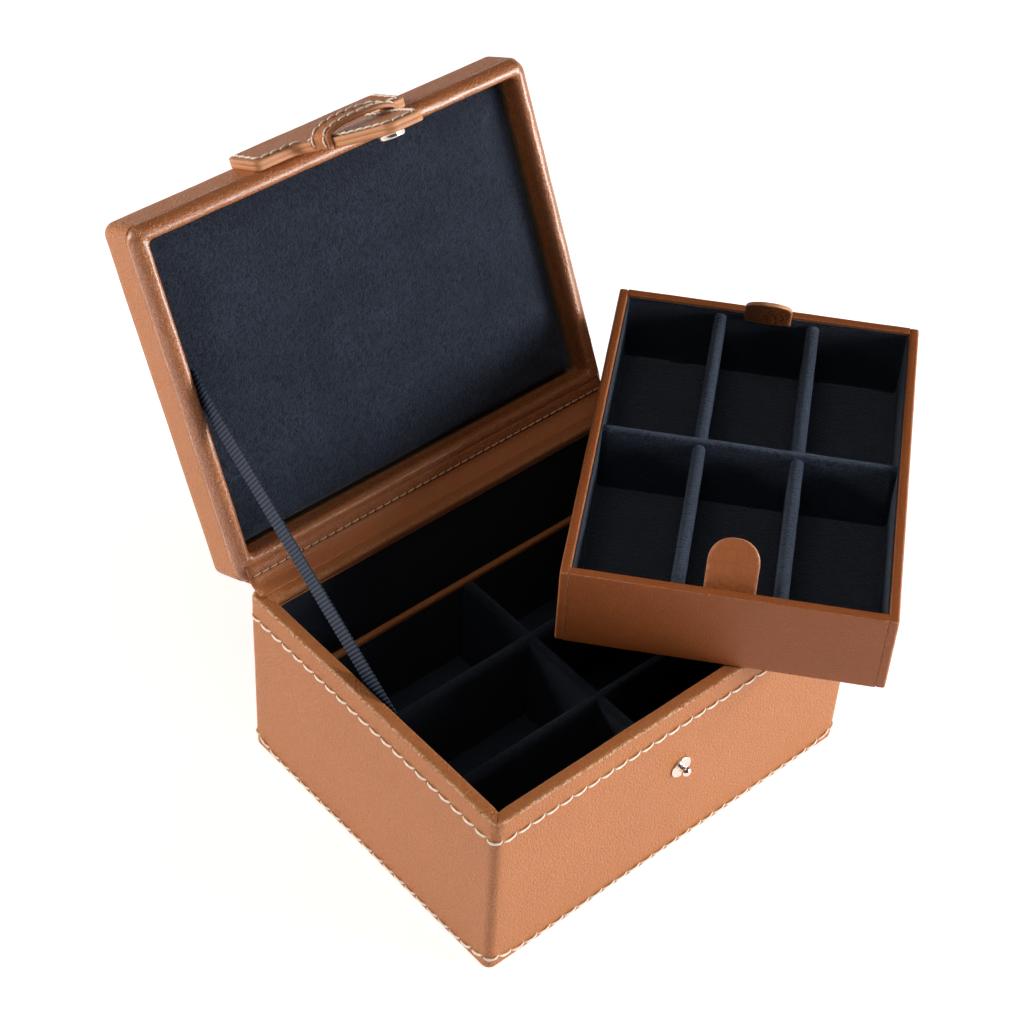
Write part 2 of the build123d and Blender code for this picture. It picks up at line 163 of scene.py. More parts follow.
def leather(name, colour, grain=1.15, depth=0.42, rough=0.45, crease=0.22, wrinkle=0.0,
            coat=0.0):
    """Tan leather: pebbled grain and uneven dye; lighter where "wear_and_highlight" says, partly
    rubbing and partly painted highlight, and darker where "shade" says, as painted shade.
    """
    n = Nodes(name)
    warp = n.node("ShaderNodeTexNoise", {"Vector": n.mm, "Scale": 0.7, "Detail": 2.0})
    offset = n.vector_math("SCALE", warp.outputs["Color"], scale=0.9)
    place = n.vector_math("ADD", n.mm, offset)
    pebbles = n.cells(grain, "SMOOTH_F1", place, Smoothness=0.35)
    edges = n.cells(grain * 1.25, "DISTANCE_TO_EDGE", place)
    creases = n.remap(edges, 0.0, 0.16)
    pores = n.noise(0.35, 3.0, 0.6)
    dye = n.noise(38, 3.0, 0.55)
    mottle = n.noise(5, 3.0, 0.6)
    dark, light = tinted(colour, 0.72, 0.62, 0.55), tinted(colour, 1.12, 1.14, 1.16)
    tone = n.mix(n.remap(dye, 0.3, 0.7), tinted(colour, 0.93), colour)
    tone = n.mix(n.remap(mottle, 0.3, 0.75, 0, 0.35), tone, light)
    tone = n.mix(n.remap(creases, 0, 1, crease, 0), tone, dark)
    # painted shade: darker tone where the shade mark says, in stitch grooves, on rim tops and on
    # slopes turned from the lamps
    tone = n.mix(n.math("MULTIPLY", n.attribute("shade"), 0.8), tone, dark)
    # partly rubbing, partly painted highlight: broken pale specks where wear_and_highlight says,
    # along rolled edges and the roll's crown
    scuff_and_highlight = n.math("MULTIPLY", n.attribute("wear_and_highlight"), n.remap(n.noise(1.5, 4, 0.75), 0.42, 0.56))
    worn_and_highlit = tinted(colour, 1.55, 2.9, 6.5)
    tone = n.mix(n.math("MULTIPLY", scuff_and_highlight, 0.8, clamp=True), tone, worn_and_highlit)
    height = n.math("ADD", n.math("MULTIPLY", pebbles, -0.8), n.math("MULTIPLY", creases, 0.5))
    height = n.math("ADD", height, n.math("MULTIPLY", pores, 0.35))
    normal = n.bump(height, depth, 0.9)
    if wrinkle:
        folds = n.noise(1.9, 4.0, 0.62, distortion=0.9)
        normal = n.bump(folds, wrinkle, 1.0, normal)
    gloss = n.math("ADD", n.remap(mottle, 0.3, 0.7, rough - 0.04, rough + 0.06),
                   n.math("MULTIPLY", creases, -0.06))
    return n.finish(tone, gloss, normal=normal, coat_weight=coat, coat_roughness=0.25,
                    specular_ior_level=0.4)


def suede(name, colour, lit, nap=0.55, sheen=0.6, contrast=1.0):
    """Napped suede: fine uneven pile with brushed patches."""
    n = Nodes(name)
    pile = n.noise(nap, 5.0, 0.72, distortion=0.6)
    tufts = n.noise(nap * 2.4, 3.0, 0.6, distortion=0.8)
    brushed = n.noise(24, 3.0, 0.6)
    value = n.math("ADD", n.math("MULTIPLY", pile, 0.55), n.math("MULTIPLY", tufts, 0.45))
    spread = 0.16 / contrast
    value = n.remap(value, 0.5 - spread, 0.5 + spread)
    value = n.math("MULTIPLY", value, n.remap(brushed, 0.32, 0.68, 0.55, 1.1))
    tone = n.mix(value, colour, lit)
    height = n.math("ADD", pile, n.math("MULTIPLY", tufts, 0.8))
    normal = n.bump(height, 1.0, 0.95)
    return n.finish(tone, n.remap(pile, 0.3, 0.7, 0.8, 0.97), normal=normal,
                    sheen_weight=sheen, sheen_roughness=0.45, sheen_tint=(0.5, 0.62, 0.85),
                    specular_ior_level=0.2)


def metal(name, colour, rough):
    """Plated metal with faint scratches."""
    n = Nodes(name)
    scratches = n.noise(0.9, 4.0, 0.7)
    tone = n.mix(n.remap(n.noise(2.5, 2.0), 0.3, 0.7), tinted(colour, 0.86), colour)
    normal = n.bump(scratches, 0.008, 0.5)
    return n.finish(tone, n.remap(scratches, 0.3, 0.7, rough, rough + 0.12), normal=normal,
                    metallic=1.0)


def thread(name, colour):
    """Waxed thread with fine fibres."""
    n = Nodes(name)
    fibres = n.noise(0.22, 3.0, 0.6)
    tone = n.mix(n.remap(fibres, 0.3, 0.7), tinted(colour, 0.8), colour)
    return n.finish(tone, n.remap(fibres, 0.3, 0.7, 0.55, 0.75), sheen_weight=0.15,
                    normal=n.bump(fibres, 0.06, 0.8))


def cut_edge(name, colour):
    """Raw cut edge of laminated leather, with fine layer lines along it."""
    n = Nodes(name)
    drift = n.math("MULTIPLY", n.noise(9.0, 2.0), 0.5)
    depth = n.math("ADD", n.attribute("depth"), drift)
    across = n.node("ShaderNodeCombineXYZ", {"X": depth}).outputs["Vector"]
    layers = n.noise(0.9, 2.0, 0.6, across)
    fibres = n.noise(0.5, 4.0, 0.7)
    dark = tinted(colour, 0.84, 0.76, 0.7)
    tone = n.mix(n.remap(layers, 0.4, 0.62), dark, colour)
    tone = n.mix(n.remap(fibres, 0.4, 0.7, 0, 0.3), tone, dark)
    return n.finish(tone, 0.55, normal=n.bump(n.math("ADD", layers, fibres), 0.08, 0.7))


def woven(name, colour, lit):
    """Grosgrain: the rib shapes are in the mesh, and the "rib" mark also paints their light and
    shade, the lit colour on a raised rib and the dark one in the gaps, over the yarn.
    """
    n = Nodes(name)
    yarn = n.noise(0.6, 3.0, 0.6)
    # painted light and shade: the rib mark picks the lit colour on a raised rib and the dark one in
    # the gaps
    rib = n.math("MULTIPLY", n.attribute("rib"), n.remap(yarn, 0.3, 0.7, 0.65, 1.0))
    tone = n.mix(rib, colour, lit)
    return n.finish(tone, 0.6, normal=n.bump(n.noise(0.3, 2.0), 0.05, 0.6),
                    specular_ior_level=0.25)


def board(name, colour):
    """Grey-brown board with fibres along one way."""
    n = Nodes(name)
    fibres = n.noise(0.8, 5.0, 0.7, n.vector_math("MULTIPLY", n.mm, (1.0, 0.3, 1.0)))
    tone = n.mix(n.remap(fibres, 0.35, 0.65), tinted(colour, 0.75), colour)
    return n.finish(tone, 0.85, normal=n.bump(fibres, 0.08, 0.6))


LEATHER = leather("case_leather", (0.48, 0.163, 0.045))
RIM_LEATHER = leather("lid_rim_leather", (0.46, 0.15, 0.044), grain=1.1, depth=0.3,
                      rough=0.3, crease=0.3, wrinkle=0.9, coat=0.8)
HINGE_LEATHER = leather("hinge_leather", (0.46, 0.148, 0.046), depth=0.4, rough=0.34,
                        crease=0.3, wrinkle=0.75, coat=0.2)
HINGE_SMOOTH = leather("hinge_smooth_leather", (0.52, 0.172, 0.054), depth=0.25,
                       rough=0.4, coat=0.1)
STRAP_LEATHER = leather("clasp_leather", (0.50, 0.176, 0.060), grain=1.0, depth=0.4)
TRAY_LEATHER = leather("tray_leather", (0.345, 0.090, 0.018), grain=0.8, depth=0.26,
                       rough=0.4, crease=0.12)
TAB_LEATHER = leather("pull_tab_leather", (0.44, 0.135, 0.042), grain=3.0, depth=0.3,
                      crease=0.3)
EDGE = cut_edge("cut_edge", (0.60, 0.27, 0.12))
# One navy suede at four brightnesses: the darker copies for the base's inside and the tray's lining
# are painted shade for those deep, shaded insides; the lid panel and the tray's dividers have the
# lighter copies.
SHADED_SUEDE = suede("navy_suede", (0.003, 0.0045, 0.009), (0.012, 0.018, 0.032), sheen=0.2)
TRAY_SUEDE = suede("tray_suede", (0.002, 0.0035, 0.008), (0.025, 0.039, 0.075), nap=0.7,
                   sheen=0.5, contrast=2.2)
SHADED_TRAY_LINING = suede("tray_lining", (0.0015, 0.0022, 0.004), (0.010, 0.0145, 0.025), nap=0.6,
                    sheen=0.5, contrast=1.9)
PANEL_SUEDE = suede("panel_suede", (0.003, 0.005, 0.010), (0.025, 0.034, 0.060), nap=0.85,
                    sheen=0.35, contrast=1.9)
RIBBON = woven("grosgrain", (0.002, 0.004, 0.009), (0.028, 0.052, 0.105))
THREAD = thread("cream_thread", (0.95, 0.84, 0.70))
TAN_THREAD = thread("tan_thread", (0.84, 0.52, 0.32))
# painted shade: dark marks at the awl holes stand in for the holes' shade and the thread's shadow
HOLE_SHADE = thread("awl_hole_shade", (0.15, 0.053, 0.022))
METAL = metal("rose_metal", (0.92, 0.78, 0.70), 0.12)
# dark copy of the plated metal: painted shade for the socket's cavity
CAVITY_SHADE_METAL = metal("socket_cavity_shade", (0.16, 0.14, 0.13), 0.4)
FELT = suede("navy_felt", (0.010, 0.014, 0.022), (0.03, 0.04, 0.06), nap=0.9, sheen=0.3)
BOARD = board("fibreboard", (0.34, 0.24, 0.16))

# The first material of a slot also goes on the CAD nodes that use that slot.
SLOTS = {"case_leather": (LEATHER, RIM_LEATHER, HINGE_LEATHER, HINGE_SMOOTH),
         "clasp_leather": (STRAP_LEATHER,), "smooth_leather": (TRAY_LEATHER, TAB_LEATHER),
         "navy_suede": (SHADED_SUEDE, TRAY_SUEDE, SHADED_TRAY_LINING, PANEL_SUEDE), "board": (BOARD,),
         "navy_ribbon": (RIBBON,), "felt": (FELT,), "snap_metal": (METAL, CAVITY_SHADE_METAL)}
SLOT_OF = {material.name: slot for slot, made in SLOTS.items() for material in made}


# ------ mesh tools
def linked(name, data):
    """A new object in the scene."""
    obj = bpy.data.objects.new(name, data)
    SCENE.collection.objects.link(obj)
    return obj


def piece(name, verts, faces, material, body, slot=None, move=None, replaces=(), marks=None,
          extra=()):
    """A mesh object from points in millimetres. One body carries it, unless body is None. The
    slot, given or found from its material, is not kept."""
    if move is not None:
        verts = [move @ Vector(v) for v in verts]
    mesh = bpy.data.meshes.new(name)
    mesh.from_pydata([tuple(c * MM for c in v) for v in verts], [], faces)
    for item in (material, *extra):
        mesh.materials.append(item)
    for key, values in (marks or {}).items():
        mesh.attributes.new(key, "FLOAT", "POINT").data.foreach_set("value", values)
    bm = bmesh.new()
    bm.from_mesh(mesh)
    bmesh.ops.recalc_face_normals(bm, faces=bm.faces)
    bm.to_mesh(mesh)
    bm.free()
    mesh.shade_smooth()
    obj = linked(name, mesh)
    slot or SLOT_OF[material.name]
    if replaces:
        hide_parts(*replaces)
    if body:
        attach(obj, body)
    return obj


def spread(a, b, count):
    """Even values from a to b, with count steps between them."""
    return [a + (b - a) * k / count for k in range(count + 1)]


def corner_loop(x0, x1, y0, y1, radius, arc, along_x, along_y):
    """Closed loop round a rectangle with rounded corners, counted from corner to corner."""
    corners = [((x1 - radius, y0 + radius), -90), ((x1 - radius, y1 - radius), 0),
               ((x0 + radius, y1 - radius), 90), ((x0 + radius, y0 + radius), 180)]
    points = []
    for i, ((cx, cy), start) in enumerate(corners):
        for angle in map(radians, spread(start, start + 90, arc)):
            points.append((cx + radius * cos(angle), cy + radius * sin(angle)))
        (x, y), (ahead_x, ahead_y) = points[-1], corners[(i + 1) % 4][0]
        goal_x, goal_y = ahead_x + radius * cos(angle), ahead_y + radius * sin(angle)
        for t in spread(0, 1, (along_y, along_x)[i % 2])[1:-1]:
            points.append((x + (goal_x - x) * t, y + (goal_y - y) * t))
    return points


def ripple(point, size, height, seed=0.0):
    """Smooth unevenness of hand-worked leather."""
    return height * noise.noise(Vector(point) / size + Vector((seed, seed * 0.7, -seed)))


def soft_step(t):
    """0 to 1 as t goes from 0 to 1, level at both ends."""
    t = min(1.0, max(0.0, t))
    return t * t * (3 - 2 * t)


def bridge(count, rows, closed=True):
    """Quads between neighbouring rows of points."""
    return [(r * count + i, r * count + (i + 1) % count, (r + 1) * count + (i + 1) % count,
             (r + 1) * count + i)
            for r in range(rows - 1) for i in range(count if closed else count - 1)]


def tube(count, rows, first=0, closed=True):
    """Quads between neighbouring rows of points, with the two end rows filled."""
    ends = [tuple(r * count + k for k in range(count)) for r in (0, rows - 1)]
    return [tuple(first + k for k in face) for face in bridge(count, rows, closed) + ends]


def wrap(name, stations, material, body, rect=CASE, radius=5.0, cap=None, uneven=0.0,
         size=22.0, rear=None, arc=5, edit=None, least=0.05, **more):
    """A skin that follows a rounded rectangle. Each station is (inset, height, wear_and_highlight,
    shade): the third lightens for rubbing and painted highlight, the fourth darkens as painted
    shade; rear turns an inset into the rear wall's inset. A cap fills the last station."""
    x0, x1, y0, y1 = rect
    count_x, count_y = int((x1 - x0) / 4), int((y1 - y0) / 4)
    verts, wear_and_highlight, shade = [], [], []
    for station in stations:
        inset, z, rub_and_highlight, dim = (*station, 0, 0)[:4]
        loop = corner_loop(x0 + inset, x1 - inset, y0 + inset,
                           y1 - (rear(inset) if rear else inset),
                           max(radius - inset, least), arc, count_x, count_y)
        for x, y in loop:
            push = ripple((x, y, z), size, uneven) + ripple((x, y, z), size / 4, uneven / 4, 9)
            out = Vector((x - (x0 + x1) / 2, y - (y0 + y1) / 2, 0)).normalized()
            point = Vector((x, y, z)) + out * push
            verts.append(edit(point, inset) if edit else point)
        wear_and_highlight += [rub_and_highlight] * len(loop)
        shade += [dim] * len(loop)
    faces = bridge(len(loop), len(stations))
    if cap:
        cap_faces(verts, faces, len(loop), (count_y, count_x) * 2, arc, cap)
        wear_and_highlight += [rub_and_highlight] * (len(verts) - len(wear_and_highlight))
        shade += [0] * (len(verts) - len(shade))
    return piece(name, verts, faces, material, body, marks={"wear_and_highlight": wear_and_highlight, "shade": shade},
                 **more)


def cap_faces(verts, faces, count, side_counts, arc, height):
    """Grid over the last loop, raised by height(point, share), where share is the distance
    from the nearest edge as a part of the width or depth."""
    start = len(verts) - count
    corners = [arc // 2]
    for along in side_counts[:3]:
        corners.append(corners[-1] + arc + along)

    def side(i):
        a, b = corners[i], corners[(i + 1) % 4]
        return [start + k % count for k in range(a, (b if b > a else b + count) + 1)]

    # right and left run from front to rear, front and rear run from left to right
    right, rear, left, front = side(0), side(1)[::-1], side(2)[::-1], side(3)
    nu, nv = len(front) - 1, len(right) - 1
    x0, x1 = verts[front[0]].x, verts[front[nu]].x
    y0, y1 = verts[front[0]].y, verts[rear[0]].y
    grid = [left, *([front[i], *[None] * (nv - 1), rear[i]] for i in range(1, nu)), right]
    for i, j in product(range(1, nu), range(1, nv)):
        u, v = i / nu, j / nv
        point = (verts[front[i]] * (1 - v) + verts[rear[i]] * v
                 + verts[left[j]] * (1 - u) + verts[right[j]] * u
                 - verts[front[0]] * (1 - u) * (1 - v) - verts[front[nu]] * u * (1 - v)
                 - verts[rear[0]] * (1 - u) * v - verts[rear[nu]] * u * v)
        across, along = (point.x - x0) / (x1 - x0), (point.y - y0) / (y1 - y0)
        share = max(0.0, min(across, 1 - across, along, 1 - along))
        grid[i][j] = len(verts)
        verts.append(point + Vector((0, 0, height(point, share))))
    faces.extend((grid[i][j], grid[i + 1][j], grid[i + 1][j + 1], grid[i][j + 1])
                 for i, j in product(range(nu), range(nv)))


def arc_stations(inset, z, radius, start, end, steps, wear_and_highlight=0.0):
    """Stations round a rolled edge; angles in degrees, 0 outward and 90 up."""
    return [(inset - radius * cos(angle), z + radius * sin(angle), wear_and_highlight)
            for angle in map(radians, spread(start, end, steps))]


def bar(name, start, end, thick, z0, z1, material, body, rounding, uneven=0.12, **more):
    """An upright wrapped board: softly rounded top edges, slightly uneven faces."""
    start, end = Vector((*start, 0)), Vector((*end, 0))
    way = end - start
    steps = int(way.length / 3)
    across = Vector((-way.y, way.x, 0)).normalized()
    half = thick / 2
    rows = max(3, int((z1 - z0) / 5))
    heights = spread(z0, z1 - rounding, rows)
    section = [(-half, z) for z in heights]
    for angle in map(radians, range(160, -1, -20)):
        inner = half - rounding
        section.append(((inner if angle < pi / 2 else -inner) + rounding * cos(angle),
                        z1 - rounding + rounding * sin(angle)))
    section += [(half, z) for z in heights[-2::-1]]
    verts = []
    for s in range(steps + 1):
        base = start + way * (s / steps)
        for off, z in section:
            point = base + across * off + Vector((0, 0, z))
            swell = ripple(point, 11, uneven, 3) + ripple(point, 3.5, uneven / 3, 5)
            if z > z0:
                point += across * (swell if off > 0 else -swell)
            if z > z1 - rounding:
                point.z += ripple(point, 14, uneven, 7)
            verts.append(point)
    piece(name, verts, tube(len(section), steps + 1, closed=False), material, body, **more)


def stitch_row(name, path, body, pitch=7.1, lean=0.42, width=0.60, closed=False,
               slot="case_leather", lift=0.1, sag=0.5, material=THREAD):
    """A row of saddle stitches along a path of (point, outward normal) pairs, with dark marks at
    the awl holes between them: painted shade of the holes and of the thread's shadow."""
    points = [Vector(p) for p, _ in path]
    normals = [Vector(n).normalized() for _, n in path]
    if closed:
        points.append(points[0])
        normals.append(normals[0])
    lengths = [0.0]
    for a, b in zip(points, points[1:]):
        lengths.append(lengths[-1] + (b - a).length)
    count = round(lengths[-1] / pitch)
    step = lengths[-1] / count

    def at(s):
        if closed:
            s %= lengths[-1]
        s = min(s, lengths[-1] - 1e-6)
        k = max(i for i, length in enumerate(lengths[:-1]) if length <= s)
        t = (s - lengths[k]) / max(lengths[k + 1] - lengths[k], 1e-6)
        normal = normals[k].lerp(normals[k + 1], t).normalized()
        tangent = (points[k + 1] - points[k]).normalized()
        return points[k].lerp(points[k + 1], t), normal, tangent, normal.cross(tangent).normalized()

    rings, sides = 13, 8
    corners = spread(0, 2 * pi, sides)[:-1]
    verts, faces, holes, hole_faces = [], [], [], []
    for i in range(count):
        faces += tube(sides, rings, first=len(verts))
        for t in spread(0, 1, rings - 1):
            point, normal, tangent, across = at((i + 0.02 + 0.97 * t) * step)
            wobble = ripple((i * 3.7, t, 0), 1.0, 0.06, 2)
            hook = (t - 0.5) * 2 * lean - sag * (sin(pi * t) - 0.5) + wobble
            height = (sin(pi * t) ** 0.5) * 0.72 - 0.32 + lift
            centre = point + across * hook + normal * height
            thin = width * (0.62 + 0.38 * sin(pi * t) ** 0.4)
            for angle in corners:
                ply = 1 + 0.12 * cos(2 * (angle - 7.0 * t))
                verts.append(centre + across * (cos(angle) * thin * ply)
                             + normal * (sin(angle) * thin * 0.8 * ply))
    for i in range(count if closed else count + 1):
        point, normal, tangent, across = at(i * step)
        first = len(holes)
        holes.append(point + normal * 0.2)
        holes += [point + tangent * (0.8 * cos(angle)) + across * (1.05 * sin(angle))
                  - normal * 0.1 for angle in corners]
        hole_faces += [(first, first + 1 + k, first + 1 + (k + 1) % sides) for k in range(sides)]
    piece(f"{name}_stitches", verts, faces, material, body, slot)
    piece(f"{name}_holes", holes, hole_faces, HOLE_SHADE, body, slot)


def rect_path(z, inset, radius=4.2, corner_rise=0.0):
    """Path round the outside of the case, which may rise towards its corners."""
    x0, x1, y0, y1 = CASE
    loop = corner_loop(x0 + inset, x1 - inset, y0 + inset, y1 - inset, radius - inset, 8, 60, 48)
    path = []
    for (ax, ay), (x, y), (bx, by) in zip(loop[-1:] + loop, loop, loop[1:] + loop[:1]):
        way = Vector((bx - ax, by - ay, 0)).normalized()
        apart = max(0.0, min(abs(x - x0), abs(x - x1)) + min(abs(y - y0), abs(y - y1)) - 2.0)
        rise = corner_rise * exp(-(apart / 9.0) ** 2)
        path.append(((x, y, z + rise), (way.y, -way.x, 0)))
    return path


ON_AXIS = 0.01      # radius of a turned part's point on its axis


def lathe(name, profile, material, body, ring=False, **more):
    """Turned part: profile is (radius, height) pairs along +Z. A ring's last point joins its
    first one; any other part ends on its axis, and its first point is filled if it doesn't
    start there."""
    sides = 40
    turns = spread(0, 2 * pi, sides)[:-1]
    verts = [Vector((r * cos(angle), r * sin(angle), z)) for r, z in profile for angle in turns]
    faces = bridge(sides, len(profile))
    last = (len(profile) - 1) * sides
    if ring:
        faces += [(k, (k + 1) % sides, last + (k + 1) % sides, last + k) for k in range(sides)]
    elif profile[0][0] > ON_AXIS:
        faces.append(tuple(range(sides)))
    piece(name, verts, faces, material, body, **more)


# ------ base
def rear_inset(inset):
    """The rear rim is wider than the others."""
    return inset if inset < 1 else 1 + (inset - 1) * (REAR - 1) / (WALL - 1)


TOP_STITCH_Z, LOW_STITCH_Z = 80.6, 3.5


def base_stations():
    """From under the base, up the wall with its two stitch grooves, over the rim's rolled
    edge and across its flat top, to the lip turned down inside."""
    low, top = LOW_STITCH_Z, TOP_STITCH_Z
    under = [(12.0, 1.6), (11.8, 0.75), (8.0, 0.6), (4.6, 0.55), (2.4, 0.4), (1.5, 0.25),
             (0.8, 0.35, 0.1), (0.35, 0.7, 0.2), (0.08, 1.25, 0.1), (0.0, 1.9)]
    # The stitch grooves are darkened with painted shade.
    wall = [(0.02, 2.6), (0.1, low, 0, 0.12), (0.02, low + 1.0)]
    wall += [(0.0, z) for z in spread(low + 3.5, low + 72.8, 18)]
    wall += [(0.0, top - 1.6), (0.12, top - 0.5, 0, 0.12), (0.12, top + 0.5, 0, 0.12),
             (0.0, top + 1.6), (0.0, 84.5), (0.0, 87.5), (0.0, 89.6)]
    # The rim's rolled outer edge and its inner lip are lightened, partly rubbing and partly painted
    # highlight; its flat top is darkened with painted shade.
    edge = arc_stations(1.25, 90.55, 1.25, 0, 20, 1)
    edge += arc_stations(1.25, 90.55, 1.25, 30, 70, 3, 1.0) + [(1.35, 91.85)]
    flat = [(1.9, 91.83), (2.8, 91.75, 0, 0.15), (4.0, 91.6, 0, 0.15), (5.2, 91.45, 0.0, 0.1)]
    lip = [(5.8, 91.3, 0.25), (6.25, 91.0, 0.3), (6.5, 90.4), (6.55, 89.6), (6.5, 88.6),
           (6.9, 88.3)]
    return under + wall + edge + flat + lip


def mitre(point, inset):
    """Shallow creases where the rim's strips meet, and a dip under the hinge leather."""
    if point.z > 88:
        point = point - Vector((0, 0, 0.4 * soft_step((point.y - 71.0) / 1.6)))
    if inset < 0.9 or point.z < 88:
        return point
    run_x = W / 2 - abs(point.x)
    run_y = (D / 2 - abs(point.y)) * (WALL / REAR if point.y > 0 else 1)
    return point - Vector((0, 0, 0.45 * exp(-((run_x - run_y) / 0.5) ** 2)))


wrap("base_wrap", base_stations(), LEATHER, "base", rear=rear_inset, radius=4.2, arc=8,
     uneven=0.16, edit=mitre,
     replaces=["base_cover", *(f"base_rim_{side}" for side in ("front", "rear", "left", "right"))])
stitch_row("base_top", rect_path(TOP_STITCH_Z, 0.1), "base", closed=True)
stitch_row("base_low", rect_path(LOW_STITCH_Z, 0.06, corner_rise=3.6), "base", closed=True)

LINING = [(6.9, 89.3), (6.65, 89.1, 0.3), (6.5, 88.7, 0.4), (6.5, 86)]
LINING += [(6.5, 84 - k * 5) for k in range(15)] + [(6.5, 9.5), (6.7, 8), (7.3, 7.0), (8.4, 6.5)]
wrap("base_suede", LINING, SHADED_SUEDE, "base", rear=rear_inset, radius=7.6, uneven=0.1,
     cap=lambda p, share: ripple(p, 12, 0.15), replaces=["base_lining", "base_floor_lining"])

FLOOR, STEP, STEP_TOP = 6.5, 3.5, 53
CAVITY_X, FRONT_IN = W / 2 - WALL, -D / 2 + WALL
PARTITION_Y, PARTITION_FRONT = 57.5, 55.2
DIVIDER = 5.6


def base_board(name, start, end, thick, top, rounding, node):
    """A suede-covered board on the base's floor."""
    bar(name, start, end, thick, FLOOR, top, SHADED_SUEDE, "base", rounding, replaces=[node])


for word, side in (("left", -1), ("right", 1)):
    x = side * (CAVITY_X - STEP / 2)
    base_board(f"step_{word}", (x, FRONT_IN + 0.6), (x, PARTITION_FRONT), STEP, STEP_TOP, 1.0,
               f"tray_step_{word}")
for name, node, y, thick, top, rounding in (
        ("step_front", "tray_step_front", FRONT_IN + STEP / 2, STEP, STEP_TOP, 1.0),
        ("lower_long_front", "lower_long_divider_front", -28.5, DIVIDER, 52.6, 2.4),
        ("lower_long_middle", "lower_long_divider_middle", 14.5, DIVIDER, 52.6, 2.4)):
    base_board(name, (STEP - CAVITY_X, y), (CAVITY_X - STEP, y), thick, top, rounding, node)
base_board("lower_cross", (0, FRONT_IN + STEP), (0, PARTITION_FRONT), DIVIDER, 52.45, 2.4,
           "lower_cross_divider")
base_board("partition_suede", (-CAVITY_X, PARTITION_Y), (CAVITY_X, PARTITION_Y), 2.6, 50.5, 0.6,
           "rear_partition_board")
bar("partition_cap", (-CAVITY_X, PARTITION_Y), (CAVITY_X, PARTITION_Y), 3.0, 50.6, STEP_TOP,
    LEATHER, "base", 1.3, 0.06, replaces=["rear_partition_cap"])

STUD_Z = 53
TO_FRONT = Matrix.Translation((0, -D / 2, STUD_Z)) @ spin(90)
STUD = [(ON_AXIS, -2.0), (4.6, -0.3), (5.2, 0.0), (5.25, 0.35), (5.1, 0.7), (4.7, 0.85),
        (4.2, 0.72), (3.3, 0.45), (2.3, 0.4), (1.8, 0.6), (1.55, 1.0), (1.5, 1.7),
        (1.7, 2.0), (2.05, 2.35), (2.28, 2.8), (2.3, 3.2), (2.15, 3.8), (1.8, 4.35),
        (1.3, 4.8), (0.7, 5.1), (ON_AXIS, 5.2)]
lathe("stud", STUD, METAL, "base", move=TO_FRONT, replaces=["snap_stud"])

# ------ lid
# The wall's edge beside the roll is darkened with painted shade; the rolled top edge is lightened a
# little, partly rubbing and partly painted highlight.
lid_stations = [(3.0, 5.6, 0, 0.5), (1.6, 5.2, 0, 0.4), (0.9, 5.0, 0, 0.3), (0.35, 5.2, 0, 0.2),
                (0.05, 5.7, 0, 0.1), (0.0, 6.4), *((0.0, z) for z in spread(7.5, 18.3, 4)),
                *arc_stations(4.0, 21.0, 4.0, 0, 90, 9, 0.12), (6.5, 25.05), (10, 25.1)]
wrap("lid_wrap", lid_stations, LEATHER, "lid", arc=8, uneven=0.16,
     cap=lambda p, share: (0.45 + ripple(p, 26, 0.25)) * soft_step(share * 3.2), move=LID,
     replaces=["lid_cover"])


def lid_rear(inset):
    """The roll is as wide at the rear, but starts further in, past the hinge leather."""
    return inset + (REAR - WALL) * min(1.0, max(0.0, (inset - 0.5) / 1.2))


# Padded roll, higher towards the inside, tucked under at both edges. Its outer slope is darkened
# with painted shade, and its outer edge and crown are lightened as painted highlight.
ROLL = [(0.9, 6.2), (0.35, 6.0), (0.05, 5.6, 0.3), (0.0, 5.0, 0.3), (0.12, 4.2, 0, 0.2),
        (0.42, 3.3, 0, 0.3), (0.85, 2.45, 0, 0.35), (1.35, 1.7, 0, 0.35), (1.9, 1.05, 0, 0.3),
        (2.5, 0.6, 0, 0.15), (3.1, 0.32), (3.8, 0.14, 0.1), (4.6, 0.06, 0.2), (5.3, 0.1, 0.2),
        (5.9, 0.26, 0.1), (6.4, 0.6), (6.8, 1.15), (7.05, 1.9), (7.15, 2.8), (7.15, 3.8),
        (7.0, 5.0), (6.8, 6.4), (6.55, 8.2), (6.5, 10.2), (6.5, 12.5)]


def wrinkled(point, inset):
    """Gathers of the roll's leather, deepest at the corners."""
    if point.z >= 4 or inset <= 1.6:
        return point
    corner = exp(-((W / 2 - abs(point.x)) / 26) ** 2) + exp(-((D / 2 - abs(point.y)) / 26) ** 2)
    fold = noise.noise(Vector((point.x / 2.2, point.y / 2.2, point.z / 2)))
    return point + Vector((0, 0, fold * 0.3 * min(1.0, 0.25 + 0.5 * corner)))


wrap("lid_roll", ROLL, RIM_LEATHER, "lid", rear=lid_rear, radius=6.5, arc=8, least=2.2,
     uneven=0.14, size=14, move=LID, edit=wrinkled, replaces=["lid_rim", "lid_inner_band"])


def applied(obj):
    """Bakes an object's modifiers into its mesh."""
    graph = bpy.context.evaluated_depsgraph_get()
    mesh = bpy.data.meshes.new_from_object(obj.evaluated_get(graph))
    obj.modifiers.clear()
    obj.data = mesh


